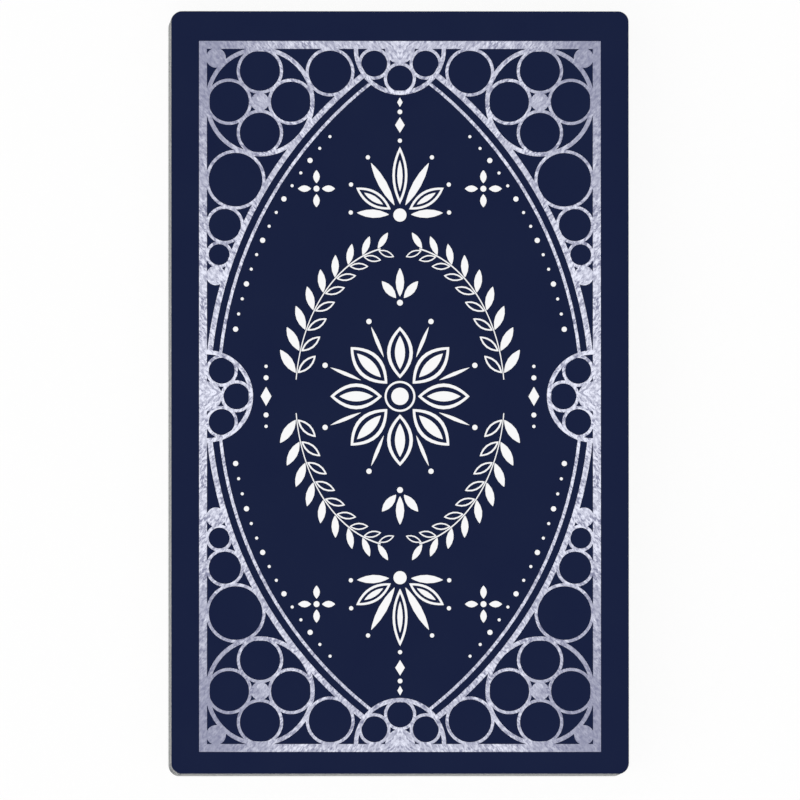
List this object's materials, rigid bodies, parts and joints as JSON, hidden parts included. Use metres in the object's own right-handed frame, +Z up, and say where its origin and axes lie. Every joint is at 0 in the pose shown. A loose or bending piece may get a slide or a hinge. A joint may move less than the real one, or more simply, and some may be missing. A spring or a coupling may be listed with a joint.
{
  "type": "tarot card deck",
  "caption": "Squared deck of large foil-stamped tarot cards lying face down; the cards slide over one another to be drawn, cut or spread in a row.",
  "frame": {"origin": "on the table under the middle of the deck", "axes": "+X across the cards, +Y along the cards towards the top of the back design, +Z up out of the back of the top card"},
  "size_m": [0.0762, 0.1271, 0.0281],
  "materials": {
    "card_stock": "satin",
    "silver_foil": "satin"
  },
  "bodies": {
    "base_packet": {"base_packet": "card_stock"},
    "card_58": {"card_58": "card_stock"},
    "card_57": {"card_57": "card_stock"},
    "card_56": {"card_56": "card_stock"},
    "card_55": {"card_55": "card_stock"},
    "card_54": {"card_54": "card_stock"},
    "card_53": {"card_53": "card_stock"},
    "card_52": {"card_52": "card_stock"},
    "card_51": {"card_51": "card_stock"},
    "card_50": {"card_50": "card_stock"},
    "card_49": {"card_49": "card_stock"},
    "card_48": {"card_48": "card_stock"},
    "card_47": {"card_47": "card_stock"},
    "card_46": {"card_46": "card_stock"},
    "card_45": {"card_45": "card_stock"},
    "card_44": {"card_44": "card_stock"},
    "card_43": {"card_43": "card_stock"},
    "card_42": {"card_42": "card_stock"},
    "card_41": {"card_41": "card_stock"},
    "card_40": {"card_40": "card_stock"},
    "card_39": {"card_39": "card_stock"},
    "card_38": {"card_38": "card_stock"},
    "card_37": {"card_37": "card_stock"},
    "card_36": {"card_36": "card_stock"},
    "card_35": {"card_35": "card_stock"},
    "card_34": {"card_34": "card_stock"},
    "card_33": {"card_33": "card_stock"},
    "card_32": {"card_32": "card_stock"},
    "card_31": {"card_31": "card_stock"},
    "card_30": {"card_30": "card_stock"},
    "card_29": {"card_29": "card_stock"},
    "card_28": {"card_28": "card_stock"},
    "card_27": {"card_27": "card_stock"},
    "card_26": {"card_26": "card_stock"},
    "card_25": {"card_25": "card_stock"},
    "card_24": {"card_24": "card_stock"},
    "card_23": {"card_23": "card_stock"},
    "card_22": {"card_22": "card_stock"},
    "card_21": {"card_21": "card_stock"},
    "card_20": {"card_20": "card_stock"},
    "card_19": {"card_19": "card_stock"},
    "card_18": {"card_18": "card_stock"},
    "card_17": {"card_17": "card_stock"},
    "card_16": {"card_16": "card_stock"},
    "card_15": {"card_15": "card_stock"},
    "card_14": {"card_14": "card_stock"},
    "card_13": {"card_13": "card_stock"},
    "card_12": {"card_12": "card_stock"},
    "card_11": {"card_11": "card_stock"},
    "card_10": {"card_10": "card_stock"},
    "card_09": {"card_09": "card_stock"},
    "card_08": {"card_08": "card_stock"},
    "card_07": {"card_07": "card_stock"},
    "card_06": {"card_06": "card_stock"},
    "card_05": {"card_05": "card_stock"},
    "card_04": {"card_04": "card_stock"},
    "card_03": {"card_03": "card_stock"},
    "card_02": {"card_02": "card_stock"},
    "card_01": {"card_01": "card_stock", "top_card_foil": "silver_foil"}
  },
  "joints": [
    {"name": "draw_top_card", "type": "slide", "parent": "card_02", "child": "card_01", "axis": [1, 0, 0], "range_m": [-0.082, 0.082]},
    {"name": "cut_upper_half", "type": "slide", "parent": "card_40", "child": "card_39", "axis": [1, 0, 0], "range_m": [-0.082, 0.082]},
    {"name": "slide_card_58", "type": "slide", "parent": "base_packet", "child": "card_58", "axis": [1, 0, 0], "range_m": [-0.01, 0.01]},
    {"name": "slide_card_57", "type": "slide", "parent": "card_58", "child": "card_57", "axis": [1, 0, 0], "range_m": [-0.01, 0.01]},
    {"name": "slide_card_56", "type": "slide", "parent": "card_57", "child": "card_56", "axis": [1, 0, 0], "range_m": [-0.01, 0.01]},
    {"name": "slide_card_55", "type": "slide", "parent": "card_56", "child": "card_55", "axis": [1, 0, 0], "range_m": [-0.01, 0.01]},
    {"name": "slide_card_54", "type": "slide", "parent": "card_55", "child": "card_54", "axis": [1, 0, 0], "range_m": [-0.01, 0.01]},
    {"name": "slide_card_53", "type": "slide", "parent": "card_54", "child": "card_53", "axis": [1, 0, 0], "range_m": [-0.01, 0.01]},
    {"name": "slide_card_52", "type": "slide", "parent": "card_53", "child": "card_52", "axis": [1, 0, 0], "range_m": [-0.01, 0.01]},
    {"name": "slide_card_51", "type": "slide", "parent": "card_52", "child": "card_51", "axis": [1, 0, 0], "range_m": [-0.01, 0.01]},
    {"name": "slide_card_50", "type": "slide", "parent": "card_51", "child": "card_50", "axis": [1, 0, 0], "range_m": [-0.01, 0.01]},
    {"name": "slide_card_49", "type": "slide", "parent": "card_50", "child": "card_49", "axis": [1, 0, 0], "range_m": [-0.01, 0.01]},
    {"name": "slide_card_48", "type": "slide", "parent": "card_49", "child": "card_48", "axis": [1, 0, 0], "range_m": [-0.01, 0.01]},
    {"name": "slide_card_47", "type": "slide", "parent": "card_48", "child": "card_47", "axis": [1, 0, 0], "range_m": [-0.01, 0.01]},
    {"name": "slide_card_46", "type": "slide", "parent": "card_47", "child": "card_46", "axis": [1, 0, 0], "range_m": [-0.01, 0.01]},
    {"name": "slide_card_45", "type": "slide", "parent": "card_46", "child": "card_45", "axis": [1, 0, 0], "range_m": [-0.01, 0.01]},
    {"name": "slide_card_44", "type": "slide", "parent": "card_45", "child": "card_44", "axis": [1, 0, 0], "range_m": [-0.01, 0.01]},
    {"name": "slide_card_43", "type": "slide", "parent": "card_44", "child": "card_43", "axis": [1, 0, 0], "range_m": [-0.01, 0.01]},
    {"name": "slide_card_42", "type": "slide", "parent": "card_43", "child": "card_42", "axis": [1, 0, 0], "range_m": [-0.01, 0.01]},
    {"name": "slide_card_41", "type": "slide", "parent": "card_42", "child": "card_41", "axis": [1, 0, 0], "range_m": [-0.01, 0.01]},
    {"name": "slide_card_40", "type": "slide", "parent": "card_41", "child": "card_40", "axis": [1, 0, 0], "range_m": [-0.01, 0.01]},
    {"name": "slide_card_38", "type": "slide", "parent": "card_39", "child": "card_38", "axis": [1, 0, 0], "range_m": [-0.01, 0.01]},
    {"name": "slide_card_37", "type": "slide", "parent": "card_38", "child": "card_37", "axis": [1, 0, 0], "range_m": [-0.01, 0.01]},
    {"name": "slide_card_36", "type": "slide", "parent": "card_37", "child": "card_36", "axis": [1, 0, 0], "range_m": [-0.01, 0.01]},
    {"name": "slide_card_35", "type": "slide", "parent": "card_36", "child": "card_35", "axis": [1, 0, 0], "range_m": [-0.01, 0.01]},
    {"name": "slide_card_34", "type": "slide", "parent": "card_35", "child": "card_34", "axis": [1, 0, 0], "range_m": [-0.01, 0.01]},
    {"name": "slide_card_33", "type": "slide", "parent": "card_34", "child": "card_33", "axis": [1, 0, 0], "range_m": [-0.01, 0.01]},
    {"name": "slide_card_32", "type": "slide", "parent": "card_33", "child": "card_32", "axis": [1, 0, 0], "range_m": [-0.01, 0.01]},
    {"name": "slide_card_31", "type": "slide", "parent": "card_32", "child": "card_31", "axis": [1, 0, 0], "range_m": [-0.01, 0.01]},
    {"name": "slide_card_30", "type": "slide", "parent": "card_31", "child": "card_30", "axis": [1, 0, 0], "range_m": [-0.01, 0.01]},
    {"name": "slide_card_29", "type": "slide", "parent": "card_30", "child": "card_29", "axis": [1, 0, 0], "range_m": [-0.01, 0.01]},
    {"name": "slide_card_28", "type": "slide", "parent": "card_29", "child": "card_28", "axis": [1, 0, 0], "range_m": [-0.01, 0.01]},
    {"name": "slide_card_27", "type": "slide", "parent": "card_28", "child": "card_27", "axis": [1, 0, 0], "range_m": [-0.01, 0.01]},
    {"name": "slide_card_26", "type": "slide", "parent": "card_27", "child": "card_26", "axis": [1, 0, 0], "range_m": [-0.01, 0.01]},
    {"name": "slide_card_25", "type": "slide", "parent": "card_26", "child": "card_25", "axis": [1, 0, 0], "range_m": [-0.01, 0.01]},
    {"name": "slide_card_24", "type": "slide", "parent": "card_25", "child": "card_24", "axis": [1, 0, 0], "range_m": [-0.01, 0.01]},
    {"name": "slide_card_23", "type": "slide", "parent": "card_24", "child": "card_23", "axis": [1, 0, 0], "range_m": [-0.01, 0.01]},
    {"name": "slide_card_22", "type": "slide", "parent": "card_23", "child": "card_22", "axis": [1, 0, 0], "range_m": [-0.01, 0.01]},
    {"name": "slide_card_21", "type": "slide", "parent": "card_22", "child": "card_21", "axis": [1, 0, 0], "range_m": [-0.01, 0.01]},
    {"name": "slide_card_20", "type": "slide", "parent": "card_21", "child": "card_20", "axis": [1, 0, 0], "range_m": [-0.01, 0.01]},
    {"name": "slide_card_19", "type": "slide", "parent": "card_20", "child": "card_19", "axis": [1, 0, 0], "range_m": [-0.01, 0.01]},
    {"name": "slide_card_18", "type": "slide", "parent": "card_19", "child": "card_18", "axis": [1, 0, 0], "range_m": [-0.01, 0.01]},
    {"name": "slide_card_17", "type": "slide", "parent": "card_18", "child": "card_17", "axis": [1, 0, 0], "range_m": [-0.01, 0.01]},
    {"name": "slide_card_16", "type": "slide", "parent": "card_17", "child": "card_16", "axis": [1, 0, 0], "range_m": [-0.01, 0.01]},
    {"name": "slide_card_15", "type": "slide", "parent": "card_16", "child": "card_15", "axis": [1, 0, 0], "range_m": [-0.01, 0.01]},
    {"name": "slide_card_14", "type": "slide", "parent": "card_15", "child": "card_14", "axis": [1, 0, 0], "range_m": [-0.01, 0.01]},
    {"name": "slide_card_13", "type": "slide", "parent": "card_14", "child": "card_13", "axis": [1, 0, 0], "range_m": [-0.01, 0.01]},
    {"name": "slide_card_12", "type": "slide", "parent": "card_13", "child": "card_12", "axis": [1, 0, 0], "range_m": [-0.01, 0.01]},
    {"name": "slide_card_11", "type": "slide", "parent": "card_12", "child": "card_11", "axis": [1, 0, 0], "range_m": [-0.01, 0.01]},
    {"name": "slide_card_10", "type": "slide", "parent": "card_11", "child": "card_10", "axis": [1, 0, 0], "range_m": [-0.01, 0.01]},
    {"name": "slide_card_09", "type": "slide", "parent": "card_10", "child": "card_09", "axis": [1, 0, 0], "range_m": [-0.01, 0.01]},
    {"name": "slide_card_08", "type": "slide", "parent": "card_09", "child": "card_08", "axis": [1, 0, 0], "range_m": [-0.01, 0.01]},
    {"name": "slide_card_07", "type": "slide", "parent": "card_08", "child": "card_07", "axis": [1, 0, 0], "range_m": [-0.01, 0.01]},
    {"name": "slide_card_06", "type": "slide", "parent": "card_07", "child": "card_06", "axis": [1, 0, 0], "range_m": [-0.01, 0.01]},
    {"name": "slide_card_05", "type": "slide", "parent": "card_06", "child": "card_05", "axis": [1, 0, 0], "range_m": [-0.01, 0.01]},
    {"name": "slide_card_04", "type": "slide", "parent": "card_05", "child": "card_04", "axis": [1, 0, 0], "range_m": [-0.01, 0.01]},
    {"name": "slide_card_03", "type": "slide", "parent": "card_04", "child": "card_03", "axis": [1, 0, 0], "range_m": [-0.01, 0.01]},
    {"name": "slide_card_02", "type": "slide", "parent": "card_03", "child": "card_02", "axis": [1, 0, 0], "range_m": [-0.01, 0.01]}
  ]
}
